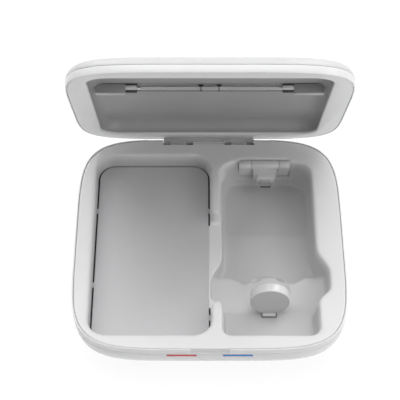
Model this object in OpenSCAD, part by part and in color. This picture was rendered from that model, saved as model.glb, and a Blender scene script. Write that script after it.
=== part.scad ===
// Clamshell box that cleans small devices with ultraviolet light and charges them while
// they lie in it. Millimetres, +Z up, X to the right, the front towards -Y. The origin is the
// centre of the base on the table. The lid is drawn open, as it stands in use.

/* [Box] */
// Width over the outer bands
body_w = 194; // [192:1:198]
// Depth over the outer bands
body_d = 190; // [187:1:194]
// Squareness of the outline, where 2 is an ellipse
corner_power = 5.3; // [5:0.1:5.4]
// Height of the deck above the table
deck_z = 33.5; // [33:0.5:35]
// Radius of the rounded underside
under_r = 26; // [25:0.5:26]
// Thickness of the outer walls
wall = 2.2; // [2:0.1:2.4]

/* [Lid] */
// Opening angle of the lid from closed
lid_open = 61.5; // [50:0.5:65]
// Height of the lid's lower band
lid_band_h = 5.5; // [5:0.5:6]
// Depth of the bowl inside the lid
bowl_depth = 11; // [10:0.5:11]
// Diameter of the ultraviolet tube
lamp_d = 4; // [3:0.5:4.5]
// Visible length of the ultraviolet tube between its caps
lamp_len = 99.6; // [95:0.2:100]

/* [Charging well] */
// Width of the charging well at the deck
well_w = 85.6; // [84:0.2:85.6]
// Length of the charging well at the deck
well_len = 161.2; // [159:0.2:162]
// Depth of the charging platform below the deck
platform_depth = 12.3; // [12:0.1:12.6]

/* [Device recess] */
// Half the width of the recess behind the bulge
recess_half = 34.3; // [33.5:0.1:34.5]
// How far the recess bulges out on each side
bulge = 8.4; // [6:0.2:8.4]
// Depth of the recess floor in front of the connector
case_depth = 26; // [25:0.5:26]

/* [Watch puck] */
// Diameter of the watch charging puck
puck_d = 28; // [27:0.5:28.5]
// Thickness of the puck
puck_t = 7.3; // [7:0.1:8]

/* [Hidden] */
$fn = 48;
slack = 0.01;

// Outline and heights shared by the shells
half_w = body_w / 2;
half_d = body_d / 2;
outline_points = 72;
seam_drop = 4.9;
seam_z = deck_z - seam_drop;
shell_z = deck_z - 32.2;
line_inset = 1.1;
deck_t = 2.4;
ledge_inset = 3.4;
edge_chamfer = 0.5;

// Hinge at the rear: its axis runs along X
hinge_y = half_d - 2.8;
hinge_z = deck_z - 6.7;
pin_r = 1.25;
pin_clearance = 0.05;
barrel_r = 2.6;
arm_x = 23.35;
arm_w = 10.5;
pocket_x0 = 11.9;
pocket_x1 = 34.7;
pocket_y = half_d - 5.8;
relief_half = 46.5;
relief_y = half_d - 5.1;
relief_step = 0.8;
leaf_relief = pocket_x1 + 0.2;
relief_drop = 3.4;
cheek = 1.5;
trough_z = hinge_z - 4.5;
arm_mouth_z = hinge_z - 2.4;
closed_gap = 0.6;
rim_z = deck_z + closed_gap;

// Charging well and its platform
well_x = -41.4;
well_y = -1.4;
platform_z = deck_z - platform_depth;
plate_t = 2;
plate_w = 81.8;
plate_len = 157.6;
plate_r = 12;
well_floor_t = 2;
well_bottom = platform_z - plate_t - well_floor_t;
tub_split = 2.6;
coil_hole_r = 28;

// Device recess
recess_x = 42.3;
recess_y0 = -83.5;
recess_y1 = 74.1;
floor_z = deck_z - case_depth;
front_floor_z = floor_z + 5;
tray_wall = 1.8;
crease_y = -50.2;
crest_y = -25;
crest_z = front_floor_z + 6;
ramp_slope = (crest_z - front_floor_z) / (crest_y - crease_y);
ramp_angle = atan(ramp_slope);
earbud_z = floor_z + 1.5;
scoop_r = 15;

// Divider between the well and the recess
divider_x = 5;
divider_r = 3.6;
saddle_y1 = 23.2;
saddle_y0 = -54;

// Watch puck: its pin runs along X
puck_x = recess_x;
puck_face_y = -52;
puck_z = deck_z - 5.7;
puck_pin_y = -47.6;
puck_pin_z = 13.5 + deck_z - 33.5;
puck_barrel_r = 2.2;
puck_barrel_half = 5.5;
toe_w = 11.4;
// Folded, the puck still leans up from the ramp by this angle
puck_rest_angle = 5;

// Flip-up connector: its pin runs along X
conn_x = 42;
conn_y = 71.8;
conn_z = deck_z - 3.3;
conn_r = 3.2;
conn_x0 = 22.8;
conn_x1 = 61.1;
conn_mid0 = 32.2;
conn_mid1 = 52.8;
conn_pin_r = 1;
plug_drop = 11.8;

// Buttons in the front wall
button_x = 19.2;
button_w = 20.4;
button_h = 2;
button_z = seam_z - 1.7;
button_proud = 0.3;
button_gap = 0.12;
board_y = -(half_d - 8.1);

// Boards and fixings inside the base
main_board_z = 12.4 + deck_z - 33.5;
board_t = 1.6;
usb_x = -42;
usb_w = 8.94;
usb_h = 3.2;
usb_z = main_board_z + board_t + usb_h / 2;
post_xs = [-66, -18];
post_ys = [40, 74];
screw_xs = [-74, -8];
screw_ys = [-58, 24];
// Four feet near the corners and one under the middle of the floor
feet = [[-60, -58], [60, -58], [-60, 58], [60, 58], [0, 0]];
foot_r = 5;
foot_seat = 0.7;
magnet_x = 52;

// Profile of the lid's outside as [inset, height above the rim]
lid_profile = [[0, lid_band_h], [0.3, 7.2], [1.2, 9], [2.8, 10.6], [5.2, 11.8], [9, 12.7],
    [18, 14.2], [34, 16.3], [54, 18.2], [74, 19.3], [89, 19.7]];
lid_wall = 1.9;
bowl_half_w = 81;
bowl_y0 = -81;
bowl_y1 = 78;
lamp_y = -26.5;
lamp_h = bowl_depth - 3;
cap_len = 7.8;
cap_seat = 4;
housing_x1 = 76.2;
housing_half = 2.9;
housing_h = 6.6;

function sgn(v) = v < 0 ? -1 : 1;
function power_wave(v) = sgn(v) * pow(abs(v), 2 / corner_power);

// Point of the box's outline at an angle, and the outward normal there
function outline_point(a) = [half_w * power_wave(cos(a)), half_d * power_wave(sin(a))];
function outline_slope(p) = [
    sgn(p[0]) * pow(abs(p[0]) / half_w, corner_power - 1) / half_w,
    sgn(p[1]) * pow(abs(p[1]) / half_d, corner_power - 1) / half_d
];
function outline_normal(p) = outline_slope(p) / norm(outline_slope(p));

// The outline drawn in by a distance, flat and as a ring at a height
function outline(inset) = [
    for (i = [0:outline_points - 1])
        let (p = outline_point(360 * i / outline_points)) p - inset * outline_normal(p)
];
function lifted(points, z) = [for (p = points) [p[0], p[1], z]];
function outline_ring(inset, z) = lifted(outline(inset), z);

// Rounded rectangle as a ring of points
function round_rect_ring(x0, x1, y0, y1, r, z) = [
    for (corner = [[x1 - r, y1 - r, 0], [x0 + r, y1 - r, 90], [x0 + r, y0 + r, 180],
            [x1 - r, y0 + r, 270]])
        for (a = [0:15:90])
            [corner[0] + r * cos(corner[2] + a), corner[1] + r * sin(corner[2] + a), z]
];

// Half the width of the device recess along its length
function smooth_step(t) = let (s = min(max(t, 0), 1)) s * s * (3 - 2 * s);
function vase_half(y) = recess_half + bulge * smooth_step((-8 - y) / 22)
    - (bulge + 0.6) * smooth_step((-42 - y) / 13);

// Sideways loss of width in the recess's rounded corners
function corner_loss(y, y0, y1, r0, r1) =
    y < y0 + r0 ? r0 - sqrt(max(0, r0 * r0 - pow(y0 + r0 - y, 2)))
    : y > y1 - r1 ? r1 - sqrt(max(0, r1 * r1 - pow(y - y1 + r1, 2))) : 0;
recess_r0 = 7;
recess_r1 = 14;
// Stations lie closer along the bulge than along the straight sides behind it
function station_share(i) = i <= 24 ? 0.56 * i / 24 : 0.56 + 0.44 * (i - 24) / 4;
function vase_stations(y0, y1) = concat(
    [for (a = [0:18:90]) y0 + recess_r0 * (1 - cos(a))],
    [for (i = [1:27]) y0 + recess_r0 + (y1 - recess_r1 - y0 - recess_r0) * station_share(i)],
    [for (a = [0:18:90]) y1 - recess_r1 * (1 - sin(a))]
);
function vase_side(inset, z, way) =
    let (y0 = recess_y0 + inset, y1 = recess_y1 - inset)
    [for (y = vase_stations(y0, y1))
        [recess_x + way * (vase_half(y) - inset - corner_loss(y, y0, y1, recess_r0, recess_r1)), y, z]];
function reversed(list) = [for (i = [len(list) - 1:-1:0]) list[i]];
function vase_ring(inset, z) = concat(vase_side(inset, z, 1), reversed(vase_side(inset, z, -1)));

// Ring of the lid's dome: a true inset near the edge, shrunk towards the middle past that
dome_edge = 20;
function dome_ring(inset, z) = inset <= dome_edge ? outline_ring(inset, z)
    : let (sx = (half_w - inset) / (half_w - dome_edge), sy = (half_d - inset) / (half_d - dome_edge))
        [for (p = outline(dome_edge)) [p[0] * sx, p[1] * sy, z]];

// Closed solid through rings of equal length, listed from the lowest up
module loft(rings) {
    count = len(rings[0]);
    points = [for (ring = rings) each ring];
    sides = [
        for (i = [0:len(rings) - 2], j = [0:count - 1])
            let (a = i * count + j, b = i * count + (j + 1) % count)
                each [[a, a + count, b + count], [a, b + count, b]]
    ];
    low_cap = [for (j = [0:count - 1]) j];
    high_cap = [for (j = [count - 1:-1:0]) (len(rings) - 1) * count + j];
    polyhedron(points, concat(sides, [low_cap, high_cap]), convexity = 6);
}

module outline_slab(inset, z0, z1) {
    translate([0, 0, z0]) linear_extrude(z1 - z0) polygon(outline(inset));
}

module block(x0, x1, y0, y1, z0, z1) {
    translate([x0, y0, z0]) cube([x1 - x0, y1 - y0, z1 - z0]);
}

// Cylinder along X between two places
module rod_x(x0, x1, y, z, r) {
    translate([x0, y, z]) rotate([0, 90, 0]) cylinder(h = x1 - x0, r = r);
}

module rod_z(x, y, z0, z1, r) {
    translate([x, y, z0]) cylinder(h = z1 - z0, r = r);
}

module both_sides() {
    children();
    mirror([1, 0, 0]) children();
}

// Turns a part of the lid from closed to its open place
module lid_place() {
    translate([0, hinge_y, hinge_z]) rotate([-lid_open, 0, 0]) translate([0, -hinge_y, -hinge_z])
        children();
}

// ---- Base: casings ----

// Rings of the rounded underside, drawn in by a wall thickness
function under_rings(thick, top_z) = concat(
    [for (k = [0:8])
        let (a = 90 * k / 8, r = under_r - thick)
            outline_ring(thick + r * (1 - sin(a)), shell_z + thick + r * (1 - cos(a)))],
    [outline_ring(thick, top_z)]
);

module button_slot(x) {
    block(x - button_w / 2 - button_gap, x + button_w / 2 + button_gap, -half_d - 1, -half_d + wall + 1,
        button_z - button_h / 2 - button_gap, button_z + button_h / 2 + button_gap);
}

module usb_mouth() {
    r = usb_h / 2 + 0.2;
    for (side = [-1, 1])
        translate([usb_x + side * (usb_w / 2 + 0.2 - r), half_d - 12, usb_z]) rotate([-90, 0, 0])
            cylinder(h = 14, r = r);
    block(usb_x - usb_w / 2 - 0.2 + r, usb_x + usb_w / 2 + 0.2 - r, half_d - 12, half_d + 2,
        usb_z - r, usb_z + r);
}

// Pocket of one hinge arm. A thin rear wall stays, open only where the arm swings out
module hinge_cut(z0, wider = 0) {
    x0 = pocket_x0 - wider;
    x1 = pocket_x1 + wider;
    z1 = max(z0, arm_mouth_z);
    both_sides() {
        block(x0, x1, pocket_y - wider, half_d - 1, z0, deck_z + 1);
        block(x0, x1, pocket_y - wider, half_d - 0.7, z1, deck_z + 1);
        block(arm_x - arm_w / 2 - 0.4, arm_x + arm_w / 2 + 0.4, pocket_y, half_d + 1, z1, deck_z + 1);
    }
}

// Low place behind the deck: a shallow step, and a deep part for the lid's leaf
module rear_relief(leaf_floor) {
    block(-relief_half, relief_half, relief_y, half_d + 1, deck_z - relief_step, deck_z + 1);
    block(-leaf_relief, leaf_relief, relief_y, half_d + 1, leaf_floor, deck_z + 1);
}

module bottom_shell() {
    floor_in = shell_z + wall;
    color([0.96, 0.96, 0.96]) difference() {
        union() {
            difference() {
                loft(under_rings(0, seam_z));
                loft(under_rings(wall, seam_z + 1));
            }
            for (x = post_xs, y = post_ys) rod_z(x, y, floor_in - slack, main_board_z, 3);
            for (x = screw_xs, y = screw_ys) rod_z(x, y, floor_in - slack, well_bottom, 4);
        }
        for (x = post_xs, y = post_ys) rod_z(x, y, floor_in + 1, main_board_z + 1, 1.1);
        for (x = screw_xs, y = screw_ys) {
            rod_z(x, y, shell_z - 1, shell_z + 3.2, 3.2);
            rod_z(x, y, shell_z, well_bottom + 1, 1.7);
        }
        for (f = feet) rod_z(f[0], f[1], shell_z - 1, shell_z + foot_seat, foot_r + 0.2);
        button_slot(-button_x);
        button_slot(button_x);
        usb_mouth();
        hinge_cut(trough_z - 0.1, cheek + 0.1);
    }
}

module base_frame() {
    lip_inset = line_inset - 0.25;
    shelf_z = deck_z - relief_drop;
    color([0.95, 0.95, 0.95]) difference() {
        loft([outline_ring(0, seam_z), outline_ring(0, deck_z - edge_chamfer),
            outline_ring(edge_chamfer, deck_z)]);
        outline_slab(lip_inset, deck_z - deck_t, deck_z + 1);
        difference() {
            outline_slab(ledge_inset, seam_z - 1, deck_z - deck_t + slack);
            block(-leaf_relief - 1.2, leaf_relief + 1.2, relief_y - 2, half_d, seam_z - 2, shelf_z);
        }
        rear_relief(shelf_z);
        // The relief's rear edge is broken so that the lid's leaf clears it
        translate([0, half_d, shelf_z]) rotate([45, 0, 0]) cube([2 * leaf_relief, 1.5, 1.5], center = true);
        hinge_cut(seam_z - 1);
        // Finger notch under the lid's front edge
        block(-13.5, 13.5, -half_d - 1, -half_d + 0.8, deck_z - 1.5, deck_z + 1);
    }
}

// ---- Base: tray ----

// Cavity of the charging well, narrower at the platform and rolled out at the deck
// Its corners keep their radius at every height
function well_ring(inset, z) = round_rect_ring(well_x - well_w / 2 + inset, well_x + well_w / 2 - inset,
    well_y - well_len / 2 + inset, well_y + well_len / 2 - inset, 13, z);

module well_cavity() {
    loft([well_ring(0.8, platform_z - plate_t), well_ring(0.7, platform_z + 1),
        well_ring(0, deck_z - 2.5), well_ring(-0.5, deck_z - 0.9), well_ring(-1.6, deck_z + slack)]);
}

// Cavity of the device recess down to its lowest floor
module vase_cavity() {
    loft([vase_ring(5, floor_z), vase_ring(3.4, floor_z + 0.7), vase_ring(2.6, floor_z + 2.6),
        vase_ring(0.2, deck_z - 3), vase_ring(-0.5, deck_z - 1), vase_ring(-1.8, deck_z + slack)]);
}

// Everything that fills the recess above its lowest floor: front floor, ramp and crest
module recess_fill() {
    low = floor_z - 6;
    back = crest_y + 9;
    profile = concat(
        [[recess_y0 - 5, low], [recess_y0 - 5, front_floor_z], [crease_y, front_floor_z],
            [crest_y, crest_z]],
        [for (i = [1:6]) [crest_y + (back - crest_y) * i / 6,
            crest_z + (earbud_z - crest_z) * smooth_step(i / 6)]],
        [[22, earbud_z], [26, low]]
    );
    x0 = recess_x - 50;
    difference() {
        translate([x0, 0, 0]) rotate([90, 0, 90]) linear_extrude(100) polygon(profile);
        for (side = [-1, 1]) rod_z(recess_x + side * 15.5, crest_y + 12, earbud_z, deck_z, scoop_r);
    }
    // Tongue of the ramp between the two scoops
    intersection() {
        rod_z(puck_x, crest_y - 8, low, deck_z, 15);
        translate([x0, 0, 0]) rotate([90, 0, 90]) linear_extrude(100)
            polygon([[crease_y, low], [crease_y, front_floor_z],
                [crest_y + 10, crest_z + ramp_slope * 6], [crest_y + 10, low]]);
    }
}

module puck_seat() {
    // Round pocket for the folded puck, running out into the ramp at its far end
    translate([puck_x, puck_pin_y, puck_pin_z]) rotate([ramp_angle + puck_rest_angle, 0, 0])
        translate([0, puck_z - puck_pin_z, -3.0]) cylinder(h = 12, r = puck_d / 2 + 0.8);
    // Slot for the foot's barrel
    block(puck_x - puck_barrel_half - 0.5, puck_x + puck_barrel_half + 0.5, puck_pin_y - 2.8,
        puck_pin_y + 6, puck_pin_z - puck_barrel_r - 0.4, deck_z);
}

module recess_block() {
    loft([vase_ring(4.8, floor_z - tray_wall), vase_ring(1.2, floor_z),
        vase_ring(-tray_wall, deck_z - deck_t + slack)]);
}

module saddle_cut() {
    difference() {
        block(0.2, 12, saddle_y0 - divider_r, saddle_y1 + divider_r, platform_z, deck_z + 1);
        rod_z(divider_x, saddle_y1 + divider_r, platform_z - 1, deck_z + 1, divider_r);
        rod_z(divider_x, saddle_y0 - divider_r, platform_z - 1, deck_z + 1, divider_r);
    }
}

// All that is taken out of the tray: both wells, the saddle and the seats in them
module tray_cuts() {
    well_cavity();
    difference() {
        vase_cavity();
        recess_fill();
    }
    difference() {
        puck_seat();
        // Lugs that hold the puck's pin, one on each side of its barrel
        for (side = [-1, 1])
            rod_x(puck_x + side * (puck_barrel_half + 1.5) - 1, puck_x + side * (puck_barrel_half + 1.5) + 1,
                puck_pin_y, puck_pin_z, 1.6);
    }
    saddle_cut();
    rod_z(well_x, well_y, well_bottom - 1, platform_z, coil_hole_r);
    block(conn_x0 - 0.3, conn_x1 + 0.3, recess_y1 - 6, conn_y + conn_r + 0.4, 14.4, deck_z + 1);
    rod_x(puck_x - 12, puck_x + 12, puck_pin_y, puck_pin_z, 0.8 + pin_clearance);
}

module tray_deck() {
    color([0.91, 0.91, 0.91]) difference() {
        outline_slab(line_inset, deck_z - deck_t, deck_z);
        tray_cuts();
        rear_relief(deck_z - relief_drop - 1);
        hinge_cut(deck_z - 5);
    }
}

// The tubs hang under the deck and meet each other in the divider
module phone_tub() {
    top = deck_z - deck_t;
    color([0.9, 0.9, 0.9]) difference() {
        union() {
            loft([well_ring(-tray_wall + 1, well_bottom), well_ring(-tray_wall, well_bottom + 3),
                well_ring(-tray_wall, top)]);
            block(tub_split - 4, tub_split, recess_y0, recess_y1 - 4, well_bottom, top);
        }
        block(tub_split, tub_split + 20, -100, 100, 0, deck_z);
        tray_cuts();
    }
}

module device_tub() {
    top = deck_z - deck_t;
    front_under = front_floor_z - 1.3;
    color([0.9, 0.9, 0.9]) difference() {
        union() {
            difference() {
                recess_block();
                block(recess_x - 50, recess_x + 50, recess_y0 - 10, crest_y - 4, 0, front_under);
            }
            block(tub_split, tub_split + 8, recess_y0, recess_y1 - 4, well_bottom, top);
            // Deeper floor under the puck and its foot
            block(puck_x - 17, puck_x + 17, -56.5, -14, floor_z - tray_wall, front_under + 1);
            // Back of the connector's pocket
            block(conn_x0 - 2, conn_x1 + 2, recess_y1 - 1, conn_y + conn_r + 2, 12.8, top);
        }
        block(tub_split - 20, tub_split, -100, 100, well_bottom - 1, deck_z);
        block(-10, 90, -100, 100, top, deck_z);
        tray_cuts();
    }
}

module charging_platform() {
    x0 = well_x - plate_w / 2;
    x1 = well_x + plate_w / 2;
    y0 = well_y - plate_len / 2;
    y1 = well_y + plate_len / 2;
    r = plate_r;
    color([0.8, 0.8, 0.81]) {
        block(x0 + r, x1 - r, y0, y1, platform_z - plate_t, platform_z);
        block(x0, x0 + r, y0 + r, y1 - r, platform_z - plate_t, platform_z);
        block(x1 - r, x1, y0 + r, y1 - r, platform_z - plate_t, platform_z);
        for (corner = [[x0 + r, y0 + r], [x1 - r, y0 + r], [x0 + r, y1 - r], [x1 - r, y1 - r]])
            rod_z(corner[0], corner[1], platform_z - plate_t, platform_z, r);
    }
}

// ---- Base: wireless charger and boards ----

module phone_coil() {
    z1 = platform_z - plate_t;
    color([0.72, 0.43, 0.24]) difference() {
        rod_z(well_x, well_y, z1 - 1.1, z1, 25);
        rod_z(well_x, well_y, z1 - 2, z1 + 1, 10);
    }
}

module ferrite_disc() {
    z1 = platform_z - plate_t - 1.1;
    color([0.25, 0.25, 0.27]) rod_z(well_x, well_y, z1 - 0.9, z1, 27);
}

module coil_carrier() {
    color([0.85, 0.85, 0.85]) rod_z(well_x, well_y, well_bottom - 1.4, well_bottom, 31);
}

module main_board() {
    z = main_board_z;
    color([0.1, 0.35, 0.2]) difference() {
        union() {
            block(-72, -12, 35, 79, z, z + board_t);
            block(usb_x - 8, usb_x + 8, 79 - slack, half_d - 8.6, z, z + board_t);
        }
        for (x = post_xs, y = post_ys) rod_z(x, y, z - 1, z + 3, 1.4);
    }
}

module board_components() {
    z = main_board_z + board_t;
    color([0.12, 0.12, 0.13]) {
        block(-56, -48, 50, 58, z, z + 1.2);
        block(-38, -32, 46, 52, z, z + 1.1);
        block(-34, -22, 58, 64, z, z + 1.4);
        block(-60, -54, 64, 70, z, z + 1.3);
        rod_z(-30, 72, z, z + 1.8, 2.6);
        rod_z(-46, 68, z, z + 1.8, 3.2);
    }
}

module board_screws() {
    z = main_board_z + board_t;
    color([0.7, 0.7, 0.72]) for (x = post_xs, y = post_ys) {
        rod_z(x, y, z, z + 1, 2.2);
        rod_z(x, y, main_board_z - 5, z + slack, 1);
    }
}

module usb_c_socket() {
    y0 = half_d - 11;
    y1 = half_d - 3.7;
    r = usb_h / 2;
    color([0.75, 0.75, 0.77]) difference() {
        union() {
            for (side = [-1, 1])
                translate([usb_x + side * (usb_w / 2 - r), y0, usb_z]) rotate([-90, 0, 0])
                    cylinder(h = y1 - y0, r = r);
            block(usb_x - usb_w / 2 + r, usb_x + usb_w / 2 - r, y0, y1, usb_z - r, usb_z + r);
        }
        difference() {
            block(usb_x - usb_w / 2 + 0.8, usb_x + usb_w / 2 - 0.8, y0 + 1, y1 + 1, usb_z - 1.2,
                usb_z + 1.2);
            block(usb_x - 3.4, usb_x + 3.4, y0, y1 - 1, usb_z - 0.35, usb_z + 0.35);
        }
    }
}

module bottom_screws() {
    color([0.6, 0.6, 0.62]) for (x = screw_xs, y = screw_ys) {
        rod_z(x, y, shell_z + 1.4, shell_z + 3.2, 2.9);
        rod_z(x, y, shell_z + 3.1, well_bottom, 1.5);
    }
}

module rubber_feet() {
    color([0.3, 0.3, 0.31]) for (f = feet) rod_z(f[0], f[1], 0, shell_z + foot_seat, foot_r);
}

// ---- Base: front electronics ----

module button_board() {
    color([0.1, 0.35, 0.2]) block(-34, 34, board_y, board_y + 1, seam_z - 6.5, seam_z + 1);
}

module tact_switches() {
    color([0.15, 0.15, 0.16]) for (x = [-button_x, button_x])
        block(x - 3, x + 3, board_y - 1.7, board_y, button_z - 1.8, button_z + 1.8);
}

module lid_sensor() {
    color([0.1, 0.1, 0.1]) block(-2, 2, board_y - 1.1, board_y, seam_z - 1.5, seam_z + 0.6);
}

module base_magnets() {
    z1 = deck_z - deck_t;
    color([0.62, 0.62, 0.65]) both_sides()
        block(magnet_x - 7, magnet_x + 7, -(half_d - 5.2), -(half_d - 8.2), z1 - 3, z1);
}

module push_bar(x) {
    y0 = -half_d - button_proud;
    flange_y = -half_d + wall + 0.4;
    color(x < 0 ? [0.85, 0.2, 0.22] : [0.15, 0.5, 0.82]) {
        block(x - button_w / 2, x + button_w / 2, y0, flange_y + slack, button_z - button_h / 2,
            button_z + button_h / 2);
        block(x - button_w / 2 - 1.2, x + button_w / 2 + 1.2, flange_y, flange_y + 1,
            button_z - button_h / 2 - 0.9, button_z + button_h / 2);
        block(x - 1.5, x + 1.5, flange_y + 1 - slack, board_y - 2.5, button_z - 1, button_z + 1);
    }
}

module left_button() { push_bar(-button_x); }

module right_button() { push_bar(button_x); }

// ---- Base: hinge, connector and puck fixings ----

module hinge_troughs() {
    z0 = trough_z;
    z1 = seam_z;
    y1 = half_d - 1.1;
    color([0.5, 0.5, 0.52]) both_sides() difference() {
        block(pocket_x0 - cheek, pocket_x1 + cheek, pocket_y - cheek, y1, z0, z1);
        block(pocket_x0, pocket_x1, pocket_y, y1 + 1, z0 + cheek, z1 + 1);
        rod_x(pocket_x0 - 3, pocket_x1 + 3, hinge_y, hinge_z, pin_r + pin_clearance);
    }
}

module hinge_pins() {
    color([0.7, 0.7, 0.72]) both_sides()
        rod_x(pocket_x0 - cheek, pocket_x1 + cheek, hinge_y, hinge_z, pin_r);
}

module friction_sleeves() {
    gap = 0.2;
    color([0.2, 0.2, 0.21]) both_sides() difference() {
        union() {
            rod_x(pocket_x0, arm_x - arm_w / 2 - gap, hinge_y, hinge_z, 2);
            rod_x(arm_x + arm_w / 2 + gap, pocket_x1, hinge_y, hinge_z, 2);
        }
        rod_x(pocket_x0 - 1, pocket_x1 + 1, hinge_y, hinge_z, pin_r + pin_clearance);
    }
}

module connector_bracket() {
    plate_y = conn_y + conn_r + 0.4;
    color([0.88, 0.88, 0.88]) difference() {
        union() {
            block(conn_x0, conn_x1, plate_y - 1, plate_y, 15.6, 26);
            for (span = [[conn_x0, conn_mid0 - 0.15], [conn_mid1 + 0.15, conn_x1]]) {
                rod_x(span[0], span[1], conn_y, conn_z, conn_r);
                block(span[0], span[1], conn_y, plate_y, 22, conn_z);
            }
        }
        rod_x(conn_x0 - 1, conn_x1 + 1, conn_y, conn_z, conn_pin_r + pin_clearance);
    }
}

module connector_pin() {
    color([0.7, 0.7, 0.72]) rod_x(conn_x0 + 0.2, conn_x1 - 0.2, conn_y, conn_z, conn_pin_r);
}

module puck_pin() {
    color([0.7, 0.7, 0.72])
        rod_x(puck_x - puck_barrel_half - 2.5, puck_x + puck_barrel_half + 2.5, puck_pin_y, puck_pin_z, 0.8);
}

// ---- Lid ----

module lid_cover() {
    color([0.97, 0.97, 0.97]) lid_place() difference() {
        loft([for (p = lid_profile) dome_ring(p[0], rim_z + p[1])]);
        loft([for (p = concat([[0, lid_band_h - 1]], lid_profile))
            dome_ring(min(p[0] + lid_wall, 90), rim_z + p[1] - (p[1] > lid_band_h + 3 ? lid_wall : 0.8))]);
    }
}

module lid_frame() {
    lip_inset = line_inset - 0.25;
    plate_t = 1.6;
    color([0.95, 0.95, 0.95]) lid_place() difference() {
        loft([outline_ring(edge_chamfer, rim_z), outline_ring(0, rim_z + edge_chamfer),
            outline_ring(0, rim_z + lid_band_h)]);
        outline_slab(lip_inset, rim_z - 1, rim_z + plate_t);
        outline_slab(ledge_inset, rim_z, rim_z + lid_band_h + 1);
        block(-pocket_x1 - 0.2, pocket_x1 + 0.2, pocket_y, half_d - 1.1, rim_z - 1, rim_z + 4.5);
    }
}

// Rings of the lid's bowl, offset outwards by a thickness
function bowl_ring(inset, h, out) = round_rect_ring(-bowl_half_w + inset - out,
    bowl_half_w - inset + out, bowl_y0 + inset - out, bowl_y1 - inset + out, 15 + out, rim_z + h);

module lid_liner() {
    t = 1.6;
    color([0.82, 0.82, 0.83]) lid_place() difference() {
        union() {
            outline_slab(line_inset, rim_z, rim_z + t);
            loft([bowl_ring(0, t - slack, t), bowl_ring(1.3, bowl_depth * 0.5, t),
                bowl_ring(4, bowl_depth * 0.93, t), bowl_ring(9, bowl_depth + 1.2, t)]);
        }
        loft([bowl_ring(-0.3, -slack, 0), bowl_ring(0, 0.6, 0), bowl_ring(1.1, bowl_depth * 0.45, 0),
            bowl_ring(2.6, bowl_depth * 0.78, 0), bowl_ring(5.2, bowl_depth * 0.94, 0),
            bowl_ring(9.5, bowl_depth, 0)]);
        block(-pocket_x1, pocket_x1, relief_y + 0.3, half_d, rim_z - 1, rim_z + 4);
    }
}

module hinge_leaf() {
    y0 = relief_y + 0.5;
    y1 = half_d - 1.2;
    leaf_half = pocket_x1 - 0.4;
    color([0.9, 0.9, 0.9]) lid_place() difference() {
        union() {
            block(-leaf_half, leaf_half, y0, y1, rim_z - 3.2, rim_z + 3.8);
            both_sides() {
                rod_x(arm_x - arm_w / 2, arm_x + arm_w / 2, hinge_y, hinge_z, barrel_r);
                block(arm_x - arm_w / 2, arm_x + arm_w / 2, hinge_y - 1.7, hinge_y + 1.6, hinge_z,
                    rim_z - 3);
            }
        }
        both_sides() rod_x(arm_x - arm_w, arm_x + arm_w, hinge_y, hinge_z, pin_r + pin_clearance);
        for (x = [-29, -11, 11, 29]) rod_z(x, hinge_y, rim_z - 0.2, rim_z + 5, 0.9);
    }
}

module leaf_screws() {
    color([0.7, 0.7, 0.72]) lid_place() for (x = [-29, -11, 11, 29]) {
        rod_z(x, hinge_y, rim_z, rim_z + 3.8 + slack, 0.9);
        rod_z(x, hinge_y, rim_z + 3.8, rim_z + 4.4, 1.5);
    }
}

module uv_lamp() {
    color([0.75, 0.8, 0.85]) lid_place()
        rod_x(-lamp_len / 2 - cap_seat, lamp_len / 2 + cap_seat, lamp_y, rim_z + lamp_h, lamp_d / 2);
}

module lamp_caps() {
    x0 = lamp_len / 2;
    color([0.9, 0.9, 0.9]) lid_place() both_sides() difference() {
        rod_x(x0, x0 + cap_len, lamp_y, rim_z + lamp_h, lamp_d / 2 + 0.5);
        rod_x(x0 - 1, x0 + cap_seat, lamp_y, rim_z + lamp_h, lamp_d / 2);
    }
}

module lamp_housings() {
    x0 = lamp_len / 2 + cap_len;
    top = rim_z + bowl_depth;
    color([0.8, 0.8, 0.81]) lid_place() both_sides()
        block(x0, housing_x1, lamp_y - housing_half, lamp_y + housing_half, top - housing_h, top - 1);
}

module lamp_clip() {
    y = lamp_y;
    z = rim_z + lamp_h;
    color([0.9, 0.9, 0.9]) lid_place() difference() {
        block(-8, 8, y - lamp_d / 2 - 1, y + lamp_d / 2 + 1, z - 1.2, rim_z + bowl_depth);
        rod_x(-9, 9, y, z, lamp_d / 2 + 0.02);
        block(-9, 9, y - lamp_d / 2 + 0.4, y + lamp_d / 2 - 0.4, z - 3, z);
    }
}

module lamp_driver_board() {
    z = rim_z + bowl_depth + 1.6;
    color([0.1, 0.35, 0.2]) lid_place() block(-40, 40, 4, 34, z, z + 1);
}

module driver_components() {
    z = rim_z + bowl_depth + 2.6;
    color([0.12, 0.12, 0.13]) lid_place() {
        block(-30, -16, 12, 24, z, z + 2);
        block(-6, 2, 10, 18, z, z + 1.2);
        block(12, 22, 14, 22, z, z + 1.6);
        rod_z(30, 20, z, z + 1.8, 3);
    }
}

module lid_magnets() {
    z0 = rim_z + 1.6;
    color([0.62, 0.62, 0.65]) lid_place() both_sides()
        block(magnet_x - 7, magnet_x + 7, -(half_d - 5.2), -(half_d - 8.2), z0, z0 + 3);
}

// ---- Watch puck ----

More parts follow.
